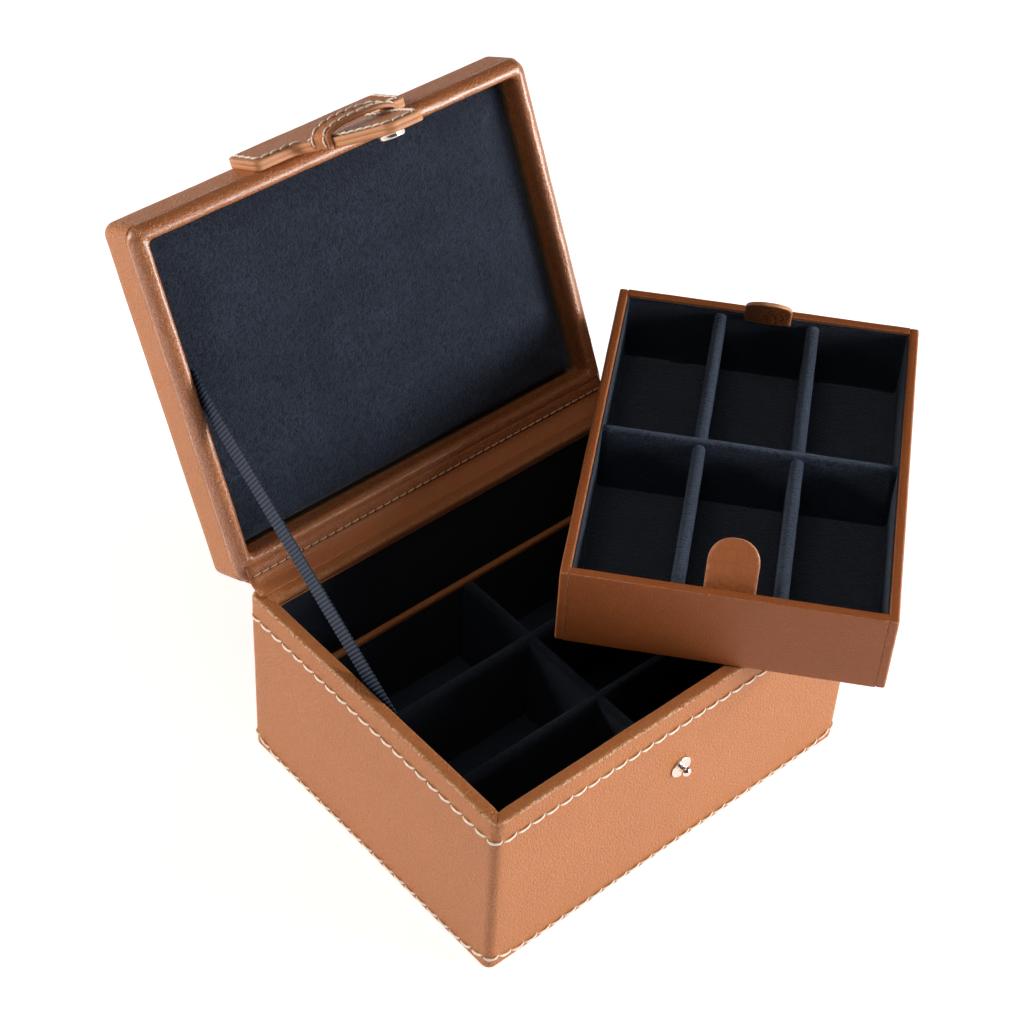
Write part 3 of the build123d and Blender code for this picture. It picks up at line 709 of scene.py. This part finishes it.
def fill(obj, held, pressure=2.5, cap=1.5, voxel=4.0, frames=20):
    """Cloth simulation that fills a pad from inside; held(point) says which points stay."""
    even = obj.modifiers.new("even", "REMESH")
    even.mode, even.voxel_size, even.use_smooth_shade = "VOXEL", voxel * MM, True
    applied(obj)
    start = [v.co.copy() for v in obj.data.vertices]
    pins = obj.vertex_groups.new(name="held")
    pins.add([v.index for v in obj.data.vertices if held(v.co / MM)], 1.0, "REPLACE")
    cloth = obj.modifiers.new("swell", "CLOTH").settings
    cloth.vertex_group_mass = "held"
    cloth.quality = 6
    cloth.use_pressure = True
    cloth.uniform_pressure_force = pressure
    cloth.effector_weights.gravity = 0
    for frame_number in range(1, frames + 1):
        SCENE.frame_set(frame_number)
    graph = bpy.context.evaluated_depsgraph_get()
    swollen = [v.co.copy() for v in obj.evaluated_get(graph).data.vertices]
    obj.modifiers.clear()
    obj.vertex_groups.clear()
    SCENE.frame_set(1)
    for vertex, old, new in zip(obj.data.vertices, start, swollen):
        way = new - old
        if way.length > cap * MM:
            way.length = cap * MM
        vertex.co = old + way
    obj.modifiers.new("smooth", "SMOOTH").iterations = 3
    obj.modifiers.new("finer", "SUBSURF").levels = 1
    applied(obj)


def lid_panel():
    """Padded suede panel: a slab a little smaller than its space, filled by simulation."""
    inset = WALL + 0.5
    section = [(4, 17.0), (0, 17.0), (0, 15.4), (0, 13.8), (0.1, 12.6), (0.5, 11.9), (1.2, 11.4),
               (2.4, 11.15), (5, 11.05)]
    stations = [(inset + further, z) for further, z in section]
    slab = wrap("lid_panel_pad_soft", stations, PANEL_SUEDE, "lid",
                rear=lambda i: i + REAR - WALL, radius=8.0, uneven=0.1,
                cap=lambda p, share: ripple(p, 34, 0.5) + ripple(p, 12, 0.15, 4),
                move=LID, replaces=["lid_panel_pad"])
    bm = bmesh.new()
    bm.from_mesh(slab.data)
    bmesh.ops.holes_fill(bm, edges=[e for e in bm.edges if e.is_boundary], sides=0)
    bmesh.ops.triangulate(bm, faces=[f for f in bm.faces if len(f.verts) > 4])
    bm.to_mesh(slab.data)
    bm.free()
    back = LID.inverted()
    fill(slab, lambda point: (back @ point).z > 13.4)
    return slab


lid_panel()

# ------ flat leather straps
SAME = 1e-4         # two points of an outline this near are one


def strap(name, rows, thick, place, material, body, columns=16, groove=0.0, **more):
    """A flat strap with raw cut edges, rounded over by half a millimetre. Rows are (along,
    half-width); place turns (across, along, depth) into a point, with depth 0 on the outer
    face. A groove runs round the edge between two layers."""
    last = len(rows) - 1
    grid = [[(x, along) for x in spread(-half, half, columns)] for along, half in rows]
    border = ([(0, j) for j in range(columns + 1)] + [(i, columns) for i in range(1, last + 1)]
              + [(last, j) for j in range(columns - 1, -1, -1)]
              + [(i, 0) for i in range(last - 1, 0, -1)])
    flat = [Vector(grid[i][j]) for i, j in border]
    ahead = flat[1:] + flat[:1]
    area = sum(a.x * b.y - b.x * a.y for a, b in zip(flat, ahead))
    inward = []
    for before, point, after in zip(flat[-1:] + flat, flat, ahead):
        way = Vector((0, 0))
        for part in (point - before, after - point):
            if part.length > SAME:
                way += part.normalized()
        turned = Vector((-way.y, way.x)) * (1 if area > 0 else -1)
        inward.append(turned.normalized() if turned.length > SAME else Vector((0, 0)))
    verts, wear_and_highlight, level, index = [], [], [], {}

    def add(x, v, depth, rub_and_highlight=0.0):
        verts.append(place(x, v, depth))
        wear_and_highlight.append(rub_and_highlight)
        level.append(depth)
        return len(verts) - 1

    faces = []
    for side, depth in enumerate((0.0, thick)):
        for key in product(range(last + 1), range(columns + 1)):
            if key in border:
                k = border.index(key)
                # the rounded border is marked for pale specks: partly rubbing, partly painted
                # highlight
                index[side, *key] = add(*(flat[k] + inward[k] * 0.5), depth, 0.6)
            else:
                index[side, *key] = add(*grid[key[0]][key[1]], depth)
        faces += [tuple(index[side, i + a, j + b] for a, b in ((0, 0), (0, 1), (1, 1), (1, 0)))
                  for i, j in product(range(last), range(columns))]
    kinds = [0] * len(faces)
    middle = thick / 2
    through = [(0.18, 0.1), (0.0, 0.35), (0.0, middle - 0.2), (groove, middle),
               (0.0, middle + 0.2), (0.0, thick - 0.35), (0.18, thick - 0.1)]
    loops = [[add(*(point + way * inset), depth) for point, way in zip(flat, inward)]
             for inset, depth in through]
    loops = [[index[0, *key] for key in border], *loops, [index[1, *key] for key in border]]
    following = [*range(1, len(border)), 0]
    for n, (a, b) in enumerate(zip(loops, loops[1:])):
        faces += [(a[k], a[m], b[m], b[k]) for k, m in enumerate(following)]
        kinds += [0 if n in (0, len(loops) - 2) else 1] * len(border)
    obj = piece(name, verts, faces, material, body, extra=[EDGE],
                marks={"wear_and_highlight": wear_and_highlight, "depth": level}, **more)
    obj.data.polygons.foreach_set("material_index", kinds)
    return obj


def round_rows(v_from, v_to, half, radius, steps=5):
    """Rows of a rounded end: the half-width grows from v_from towards v_to."""
    sign = 1 if v_to > v_from else -1
    return [(v_from + sign * radius * (1 - cos(a)), half - radius * (1 - sin(a)))
            for a in map(radians, spread(0, 90, steps))]


# ------ clasp
BAR_HALF, BAR_TOP, BAR_LOW = 38.0, 24.2, 1.7
ROOT_HALF, SHOULDER_HALF, TIP_HALF = 17.0, 15.2, 9.0
SHOULDER_V, TIP_V = -31.0, -54.0
FILLET, BEND = 4.7, 5.5


def clasp_rows():
    """Down the bar, round the fillets where the tab starts, and down the tab to its tip."""
    rows = round_rows(BAR_TOP, 0, BAR_HALF, 3.0)
    rows += [(v, BAR_HALF) for v in spread(BAR_TOP - 5.6, BAR_TOP - 18.6, 5)]
    rows += round_rows(BAR_LOW, 10, BAR_HALF, 3.0)[::-1] + [(BAR_LOW - 0.01, 29.0)]
    top = BAR_LOW - FILLET
    rows += [(top + FILLET * cos(a) - 0.02, ROOT_HALF + FILLET * (1 - sin(a)))
             for a in map(radians, spread(0, 90, 6))]
    rows += list(zip(spread(top, SHOULDER_V, 9), spread(ROOT_HALF, SHOULDER_HALF, 9)))[1:]
    rows += [(SHOULDER_V + (TIP_V + 5.4 - SHOULDER_V) * t,
              SHOULDER_HALF + (TIP_HALF + 0.9 - SHOULDER_HALF) * t ** 1.1)
             for t in spread(0, 1, 6)[1:]]
    return rows + round_rows(TIP_V, 0, TIP_HALF + 0.6, 4.8, 7)[::-1][1:]


def flex_share(v):
    """0 on the bar, 1 on the tab, smooth across the bend."""
    return soft_step((BAR_LOW - 0.2 - v) / BEND)


def on_clasp(x, v, depth):
    """Point of the strap: bent at the root, then carried to the open lid."""
    y = CLASP_Y - STRAP_T / 2 + depth + ripple((x, v, 0), 16, 0.12)
    bend = turned(CLASP_ROOT, -CLASP_RELAXED * flex_share(v))
    return OPENED @ (bend @ Vector((x, y, HINGE.z + v)))


CLASP = strap("clasp_strap", clasp_rows(), STRAP_T, on_clasp, STRAP_LEATHER, None, columns=24,
              groove=0.16,
              replaces=["clasp_bar", "clasp_bar_backing", "clasp_tab", "clasp_backing"])
tuple(on_clasp(0, BAR_LOW, STRAP_T / 2) * MM)
tuple(on_clasp(0, BAR_LOW - BEND, STRAP_T / 2) * MM)
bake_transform(CLASP)


def clasp_stitches(name, corners, body):
    """A stitch row on the strap, along (across, along) points."""
    flat = []
    for a, b in zip(map(Vector, corners), map(Vector, corners[1:])):
        steps = max(1, int((b - a).length / 2))
        flat += [a.lerp(b, k / steps) for k in range(steps)]
    flat.append(corners[-1])
    path = [(on_clasp(x, v, 0), on_clasp(x, v, 0) - on_clasp(x, v, 1.0)) for x, v in flat]
    stitch_row(name, path, body, pitch=4.7, width=0.58, slot="clasp_leather", lean=0.3,
               sag=0.25, lift=0.2)


IN = 2.6
bar_path = [(BAR_HALF - IN, BAR_TOP - 2.0), (BAR_HALF - IN, BAR_LOW + IN + 1),
            (BAR_HALF - IN - 1, BAR_LOW + IN), (24.0, BAR_LOW + IN), (19.6, BAR_LOW + IN),
            (17.0, 2.9), (16.2, 1.6)]
for side, word in ((-1, "left"), (1, "right")):
    clasp_stitches(f"clasp_bar_{word}", [(side * x, v) for x, v in bar_path], "lid")
half_tip = [(ROOT_HALF - IN + 0.4, -2.6), (ROOT_HALF - IN - 0.2, -4.5),
            (SHOULDER_HALF - IN, SHOULDER_V), (TIP_HALF - IN + 1.0, TIP_V + 4.5),
            (TIP_HALF - IN - 1.2, TIP_V + IN)]
clasp_stitches("clasp_tab_edge", [(-x, v) for x, v in half_tip] + half_tip[::-1], "clasp")

KEEPER_TOP, KEEPER_LOW, KEEPER_T, KEEPER_FOOT = -10.6, -23.4, 1.7, 3.6


def keeper_curve(v):
    """The band's inner line at one height: up one side of the tab, over it and down again."""
    share = (KEEPER_TOP - v) / (KEEPER_TOP - KEEPER_LOW)
    half = ROOT_HALF + 0.25 + (SHOULDER_HALF - ROOT_HALF) * (v + 3) / (SHOULDER_V + 3)
    rise = 4.7 - 1.7 * share
    line = [Vector((-half, up)) for up in (-KEEPER_FOOT, -KEEPER_FOOT / 2, -0.4)]
    for angle in spread(pi, 0, 24)[1:-1]:
        line.append(Vector((half * (1 if cos(angle) > 0 else -1) * abs(cos(angle)) ** 0.8,
                            rise * sin(angle) ** 0.85)))
    return line + [Vector((-p.x, p.y)) for p in line[2::-1]]


def keeper_half(v):
    """Half the length of the band at one height."""
    line = keeper_curve(v)
    return sum((b - a).length for a, b in zip(line, line[1:])) / 2


def on_keeper(across, v, depth):
    """Point of the band; across runs along it from its middle, depth 0 is its outer face."""
    line = keeper_curve(v)
    goal = across + keeper_half(v)
    for a, b in zip(line, line[1:]):
        length = (b - a).length
        if goal <= length or b is line[-1]:
            break
        goal -= length
    way = (b - a).normalized()
    point = a + way * goal + Vector((-way.y, way.x)) * (KEEPER_T - depth + 0.1)
    return on_clasp(point.x, v, -point.y)


KEEPER_HALF = keeper_half((KEEPER_TOP + KEEPER_LOW) / 2) - 0.2
keeper_rows = round_rows(KEEPER_TOP, -20, KEEPER_HALF, 1.2, 3)
keeper_rows += [(KEEPER_TOP - 2 - k * 1.7, KEEPER_HALF) for k in range(6)]
keeper_rows += round_rows(KEEPER_LOW, 0, KEEPER_HALF, 1.2, 3)[::-1]
strap("keeper_band", keeper_rows, KEEPER_T, on_keeper, STRAP_LEATHER, "clasp", columns=60,
      replaces=["clasp_keeper"])
for word, v in (("upper", KEEPER_TOP - 2.4), ("lower", KEEPER_LOW + 2.6)):
    path = [(on_keeper(x, v, 0), on_keeper(x, v, 0) - on_keeper(x, v, 1.0))
            for x in spread(0.8 - KEEPER_HALF, KEEPER_HALF - 0.8, 48)]
    stitch_row(f"keeper_{word}", path, "clasp", pitch=4.4, width=0.5, slot="clasp_leather",
               lean=0.25, sag=0.2, lift=0.16)

SNAPPED = radians(CLASP_RELAXED - 3.4)
SOCKET_Z = CLASP_Z - (CLASP_Z - STUD_Z) / cos(SNAPPED) + STRAP_T / 2 * sin(SNAPPED)
ON_TAB = (OPENED @ turned(CLASP_ROOT, -CLASP_RELAXED)
          @ Matrix.Translation((0, -D / 2, SOCKET_Z)) @ spin(-90))
SOCKET = [(3.2, -1.2), (6.2, -0.3), (6.6, 0.0), (6.6, 0.4), (6.35, 0.7), (6.1, 0.85),
          (6.0, 1.4), (5.95, 2.4), (5.75, 2.95), (5.3, 3.2), (4.6, 3.15), (4.0, 2.8),
          (3.6, 2.2), (3.4, 1.2), (3.3, 0.0)]
lathe("socket_ring", SOCKET, METAL, "clasp", ring=True, move=ON_TAB, replaces=["snap_socket"])
# The cup in the socket's middle takes the dark copy of the metal: painted shade for the socket's
# cavity.
CUP = [(3.5, -1.0), (3.6, 0.4), (3.3, 0.5), (2.6, -0.6), (ON_AXIS, -0.9)]
lathe("socket_cup", CUP, CAVITY_SHADE_METAL, "clasp", move=ON_TAB)

# ------ stay ribbon
RIBBON_X, RIBBON_HALF, RIB = -92.15, 5.5, 1.7
LOW_END, HIGH_END = Vector((RIBBON_X, -5.5, 85.0)), Vector((RIBBON_X, 123.5, 174.6))


def ribbon():
    """The woven ribbon: a rib every RIB millimetres, between raised selvedges."""
    way = HIGH_END - LOW_END
    along = way.normalized()
    across = Vector((0, -along.z, along.y))
    steps = int(way.length / RIB * 8)
    section = [(-1.0, 0.0), (-0.97, 0.8), (-0.9, 1.0), (-0.86, 0.7), (-0.5, 0.75), (0.0, 0.8),
               (0.5, 0.75), (0.86, 0.7), (0.9, 1.0), (0.97, 0.8), (1.0, 0.0)]
    section += [(w, -t) for w, t in section[-2:0:-1]]
    verts, rib_light_and_shade = [], []
    for s in spread(0, way.length, steps):
        rib = cos(2 * pi * s / RIB)
        raised = 0.5 + 0.5 * max(-1, min(1, rib * 1.6))
        for w, t in section:
            selvedge = abs(w) > 0.88
            ridge = 0.22 + (0.2 if selvedge else 0.36) * raised
            wide = RIBBON_HALF + (0.1 * rib if selvedge else 0)
            verts.append(LOW_END + along * s + across * (w * wide) + Vector((t * ridge, 0, 0)))
            # painted light and shade: each raised rib gets the lit colour, the gap between two the
            # dark one
            rib_light_and_shade.append(raised * (0.75 if selvedge else 1.0))
    return piece("stay_grosgrain", verts, tube(len(section), steps + 1), RIBBON, None,
                 replaces=["stay_ribbon"], marks={"rib": rib_light_and_shade})


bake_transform(ribbon())

# ------ hinge leather
def hinge_skin(name, section, material, half_width, body=None, start=None, end=None, **more):
    """A leather skin along the hinge; section is a closed loop of (y, z) points. It rides on one
    body, or on none when body is None; start and end are not used."""
    steps = int(half_width * 2 / 3)
    verts = [Vector((x, y, z)) + Vector((0, 0.6, 0.6)) * ripple((x, y, z), 12, 0.1)
             for x, (y, z) in product(spread(-half_width, half_width, steps), section)]
    obj = piece(name, verts, tube(len(section), steps + 1), material, body, **more)
    if body is None:
        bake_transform(obj)


def opened_yz(y, v):
    """Where a point of the closed lid's section stands with the lid open."""
    point = OPENED @ Vector((0, y, HINGE.z + v))
    return (point.y, point.z)


def smooth_run(points, steps=6):
    """Rounds a run of (y, z) points with quadratic blends at its inner corners."""
    out = [points[0]]
    for a, b, c in zip(*(map(Vector, points[k:]) for k in range(3))):
        p, q = (a + b) / 2, (b + c) / 2
        for t in spread(0, 1, steps):
            out.append(tuple(p * (1 - t) ** 2 + b * (2 * t * (1 - t)) + q * t * t))
    return out + [points[-1]]


BACK_Y = 79.1
outer_back = smooth_run([(79.05, 78.4), (BACK_Y, 84), (BACK_Y, 90.5), (79.3, 92.0),
                         opened_yz(BACK_Y, 2.0), opened_yz(BACK_Y, 8), opened_yz(79.05, 14)])
inner_back = smooth_run([(78.02, 78.3), (78.05, 84), (78.1, 91.0), (78.5, 92.4),
                         opened_yz(78.1, 1.6), opened_yz(78.05, 8), opened_yz(78.02, 14.1)])
hinge_skin("hinge_back", outer_back + inner_back[::-1], LEATHER, 95.5, start=(0, 78.5, 91.3),
           end=(0, *opened_yz(78.5, 1.0)), replaces=["hinge_strip"])


def lid_side(u, v):
    """Point (y, z) at distance u from the lid's rear face and v from its rim plane."""
    return opened_yz(D / 2 - u, v)


gusset_top = smooth_run([(72.0, 91.5), (74.2, 91.86), (76.0, 92.0), (77.6, 92.35),
                         (79.3, 93.6), lid_side(2.6, 0.3), lid_side(4.5, 0.6)])
gusset_low = smooth_run([(72.0, 91.1), (74.2, 91.3), (76.0, 91.4), (77.6, 91.7),
                         (80.2, 93.2), lid_side(2.6, 1.1), lid_side(4.5, 1.2)])
hinge_skin("hinge_gusset", gusset_top + gusset_low[::-1], HINGE_SMOOTH, 97.0,
           start=(0, 76.8, 92.1), end=(0, *lid_side(1.9, 0.3)))
flap_top = [lid_side(*p) for p in ((2.05, 0.75), (2.1, 0.2), (2.4, -0.1), (3.0, -0.25),
                                   (4.4, -0.3), (6.0, -0.15), (7.2, 0.2), (8.0, 0.9))]
flap_low = [lid_side(*p) for p in ((2.2, 1.0), (3.0, 0.9), (4.4, 0.9), (6.0, 1.0), (7.2, 1.2),
                                   (8.0, 1.6))]
hinge_skin("lid_flap", flap_top + flap_low[::-1], HINGE_LEATHER, 97.0, body="lid")


def straight_path(half, count, y, z, normal, move=Matrix.Identity(4)):
    """A stitch path from left to right."""
    return [(move @ Vector((x, y, z)), move.to_3x3() @ Vector(normal))
            for x in spread(-half, half, count)]


stitch_row("flap", straight_path(95.5, 48, D / 2 - 3.3, HINGE.z - 0.3, (0, 0, -1), OPENED), "lid",
           pitch=4.2, width=0.36, lean=0.1, sag=0.0, lift=-0.12, material=TAN_THREAD)
stitch_row("hinge_back_low", straight_path(91.5, 40, BACK_Y, TOP_STITCH_Z, (0, 1, 0)), "base")
stitch_row("hinge_back_high",
           straight_path(91.5, 40, BACK_Y, HINGE.z + 11.6, (0, 1, 0), OPENED), "lid")


# ------ tray
def soft_box(name, low, high, radius, material, body, uneven=0.08, step=4.0, **more):
    """A leather-wrapped board: every edge rolled, faces slightly uneven."""
    axes = []
    for a, b in zip(low, high):
        r = min(radius, (b - a) / 2 * 0.98)
        near = [0, 0.3, 0.65, 1.0]
        middle = spread(a + r, b - r, max(1, int((b - a - 2 * r) / step)))[1:-1]
        axes.append([a + r * f for f in near] + middle + [b - r * f for f in near[::-1]])
    index, verts, wear_and_highlight = {}, [], []

    def at(key):
        if key not in index:
            point = Vector([axis[i] for axis, i in zip(axes, key)])
            core = Vector([min(max(c, a + radius), b - radius) if b - a > 2 * radius
                           else (a + b) / 2 for c, a, b in zip(point, low, high)])
            out = point - core
            if out.length > 1e-6:
                reach = min(radius, max(abs(c) for c in out)) if out.length < radius else radius
                point = core + out.normalized() * reach
            index[key] = len(verts)
            verts.append(point + out.normalized() * ripple(point, 15, uneven, 11))
            # rolled edges are marked for pale specks: partly rubbing, partly painted highlight
            wear_and_highlight.append(0.8 if sum(abs(c) > radius * 0.4 for c in out) > 1 else 0.0)
        return index[key]

    faces = []
    sizes = [len(axis) for axis in axes]
    for axis in range(3):
        a, b = [x for x in range(3) if x != axis]
        for end, i, j in product((0, sizes[axis] - 1), range(sizes[a] - 1), range(sizes[b] - 1)):
            keys = []
            for di, dj in ((0, 0), (1, 0), (1, 1), (0, 1)):
                key = [end] * 3
                key[a], key[b] = i + di, j + dj
                keys.append(tuple(key))
            faces.append(tuple(at(key) for key in keys))
    piece(name, verts, faces, material, body, marks={"wear_and_highlight": wear_and_highlight}, **more)


LX, LY = TRAY_L / 2, TRAY_W / 2
WALL_T, UNDER = 4.1, 0.35


def tray_board(name, low, high, radius, *nodes):
    """A leather-covered board of the tray."""
    soft_box(name, low, high, radius, TRAY_LEATHER, "tray", move=TRAY, replaces=nodes)


for word, side in (("left", 1), ("right", -1)):
    low, high = sorted((side * (LY - WALL_T), side * LY))
    tray_board(f"tray_side_{word}", (-LX, low, UNDER), (LX, high, TRAY_H), 1.1,
               f"tray_{word}_board")
for word, side in (("front", -1), ("rear", 1)):
    low, high = sorted((side * (LX - WALL_T), side * (LX - 0.06)))
    tray_board(f"tray_end_{word}", (low, -LY + WALL_T - 0.25, UNDER),
               (high, LY - WALL_T + 0.25, TRAY_H - 0.05), 0.45, f"tray_{word}_board")
tray_board("tray_base_leather", (-LX + 3.5, -LY + 3.5, UNDER), (LX - 3.5, LY - 3.5, 2.4), 0.6,
           "tray_cover", "tray_bottom_board")

tray_lining = [(4.1, 36.0), (4.15, 37.2), (4.4, 37.5), (4.75, 37.35), (4.85, 36.8)]
tray_lining += [(4.85, 35.5 - 3.9 * k) for k in range(8)] + [(4.9, 6.4), (5.3, 5.3), (6.2, 4.95)]
wrap("tray_suede", tray_lining, SHADED_TRAY_LINING, "tray", rect=(-LX, LX, -LY, LY), radius=5.4,
     uneven=0.1, cap=lambda p, share: ripple(p, 12, 0.15), move=TRAY, replaces=["tray_lining"])


def tray_divider(name, start, end, top, node):
    """A suede-covered board on the tray's floor."""
    bar(name, start, end, 5.4, 4.9, top, TRAY_SUEDE, "tray", 2.3, move=TRAY, replaces=[node])


IX, IY = LX - TRAY_INSIDE, LY - TRAY_INSIDE
for word, side in (("left", 1), ("right", -1)):
    tray_divider(f"tray_long_{word}", (-IX, side * IY / 3), (IX, side * IY / 3), 35.7,
                 f"tray_long_divider_{word}")
tray_divider("tray_cross", (0, -IY), (0, IY), 36.5, "tray_cross_divider")

PULL_X, PULL_Z = LX - TRAY_INSIDE - 1.2, TRAY_H - 1.2 - 2.0
PULL_LEAN, PULL_T, PULL_HALF, PULL_LONG = 28.0, 1.8, 10.3, 22.0


def pull_tab(word, end):
    """Leather tab with a rounded tip; it leans in over the tray and curls a little."""
    def place(x, v, depth):
        curl = radians(PULL_LEAN + (v / PULL_LONG) * 6 - 3)
        off = depth - PULL_T / 2 - 0.5 * (x / PULL_HALF) ** 2
        inward = v * sin(curl) + off * cos(curl)
        up = v * cos(curl) - off * sin(curl)
        return TRAY @ Vector((end * (PULL_X - inward), x, PULL_Z + up))

    rows = [(-0.9 + k * 1.6, PULL_HALF) for k in range(8)]
    rows += round_rows(PULL_LONG, 0, PULL_HALF, 9.4, 9)[::-1]
    strap(f"{word}_tab_leather", rows, PULL_T, place, TAB_LEATHER, f"{word}_tab", columns=14,
          replaces=[f"{word}_pull_tab"])


pull_tab("front", -1)
pull_tab("rear", 1)

# ------ camera, light, floor
CAM_AZ, CAM_EL, CAM_ROLL = 43.327, 43.969, 3.603
CAM_AT = Vector((-0.48822, -0.48696, 0.79990))
camera = linked("camera", bpy.data.cameras.new("camera"))
camera.data.lens = 84.65
camera.data.sensor_width = 36.0
camera.data.clip_start, camera.data.clip_end = 0.05, 20.0
camera.matrix_world = (Matrix.Translation(CAM_AT) @ spin(-CAM_AZ, "Z") @ spin(90 - CAM_EL)
                       @ spin(CAM_ROLL, "Z"))
SCENE.camera = camera


def softbox(name, place, aim, size, power, colour=(1, 1, 1)):
    """A rectangular light at place that faces aim."""
    light = bpy.data.lights.new(name, "AREA")
    light.shape = "RECTANGLE"
    light.size, light.size_y = size
    light.energy = power
    light.color = colour
    obj = linked(name, light)
    obj.location = place
    obj.rotation_mode = "QUATERNION"
    obj.rotation_quaternion = (Vector(aim) - Vector(place)).to_track_quat("-Z", "Y")


SCENE.view_settings.view_transform = "Standard"
softbox("left_light", (-1.04, 1.0, 0.55), (0, 0, 0.1), (0.6, 0.8), 18.5, (1.0, 0.94, 0.86))
softbox("front_light", (1.12, -1.04, 0.5), (0, 0, 0.1), (0.6, 0.8), 19, (1.0, 1.0, 0.96))
softbox("rim_light", (0.86, -1.22, 0.42), (0, 0.1, 0.15), (0.5, 0.45), 12)
softbox("top_light", (-0.25, -0.1, 1.6), (0, 0, 0.1), (0.9, 0.9), 3.5, (1.0, 0.92, 0.84))

world = bpy.data.worlds.new("world")
world.use_nodes = True
background = world.node_tree.nodes["Background"]
background.inputs["Color"].default_value = (1, 1, 1, 1)
background.inputs["Strength"].default_value = 0.06
SCENE.world = world

floor_mesh = bpy.data.meshes.new("floor")
floor_mesh.from_pydata([(-6, -6, 0), (6, -6, 0), (6, 6, 0), (-6, 6, 0)], [], [(0, 1, 2, 3)])
floor = linked("floor", floor_mesh)
floor_mesh.materials.append(Nodes("floor").finish(
    (0.74, 0.74, 0.74), 0.9, specular_ior_level=0.1, emission_color=(1, 1, 1),
    emission_strength=0.66))

# ------ CAD nodes that show
node_slot = {s["node"]: s["material_slot"] for s in frame["record"]["subparts"]}
for node, obj in frame["nodes"].items():
    for place in obj.material_slots:
        place.material = SLOTS[node_slot[node]][0]
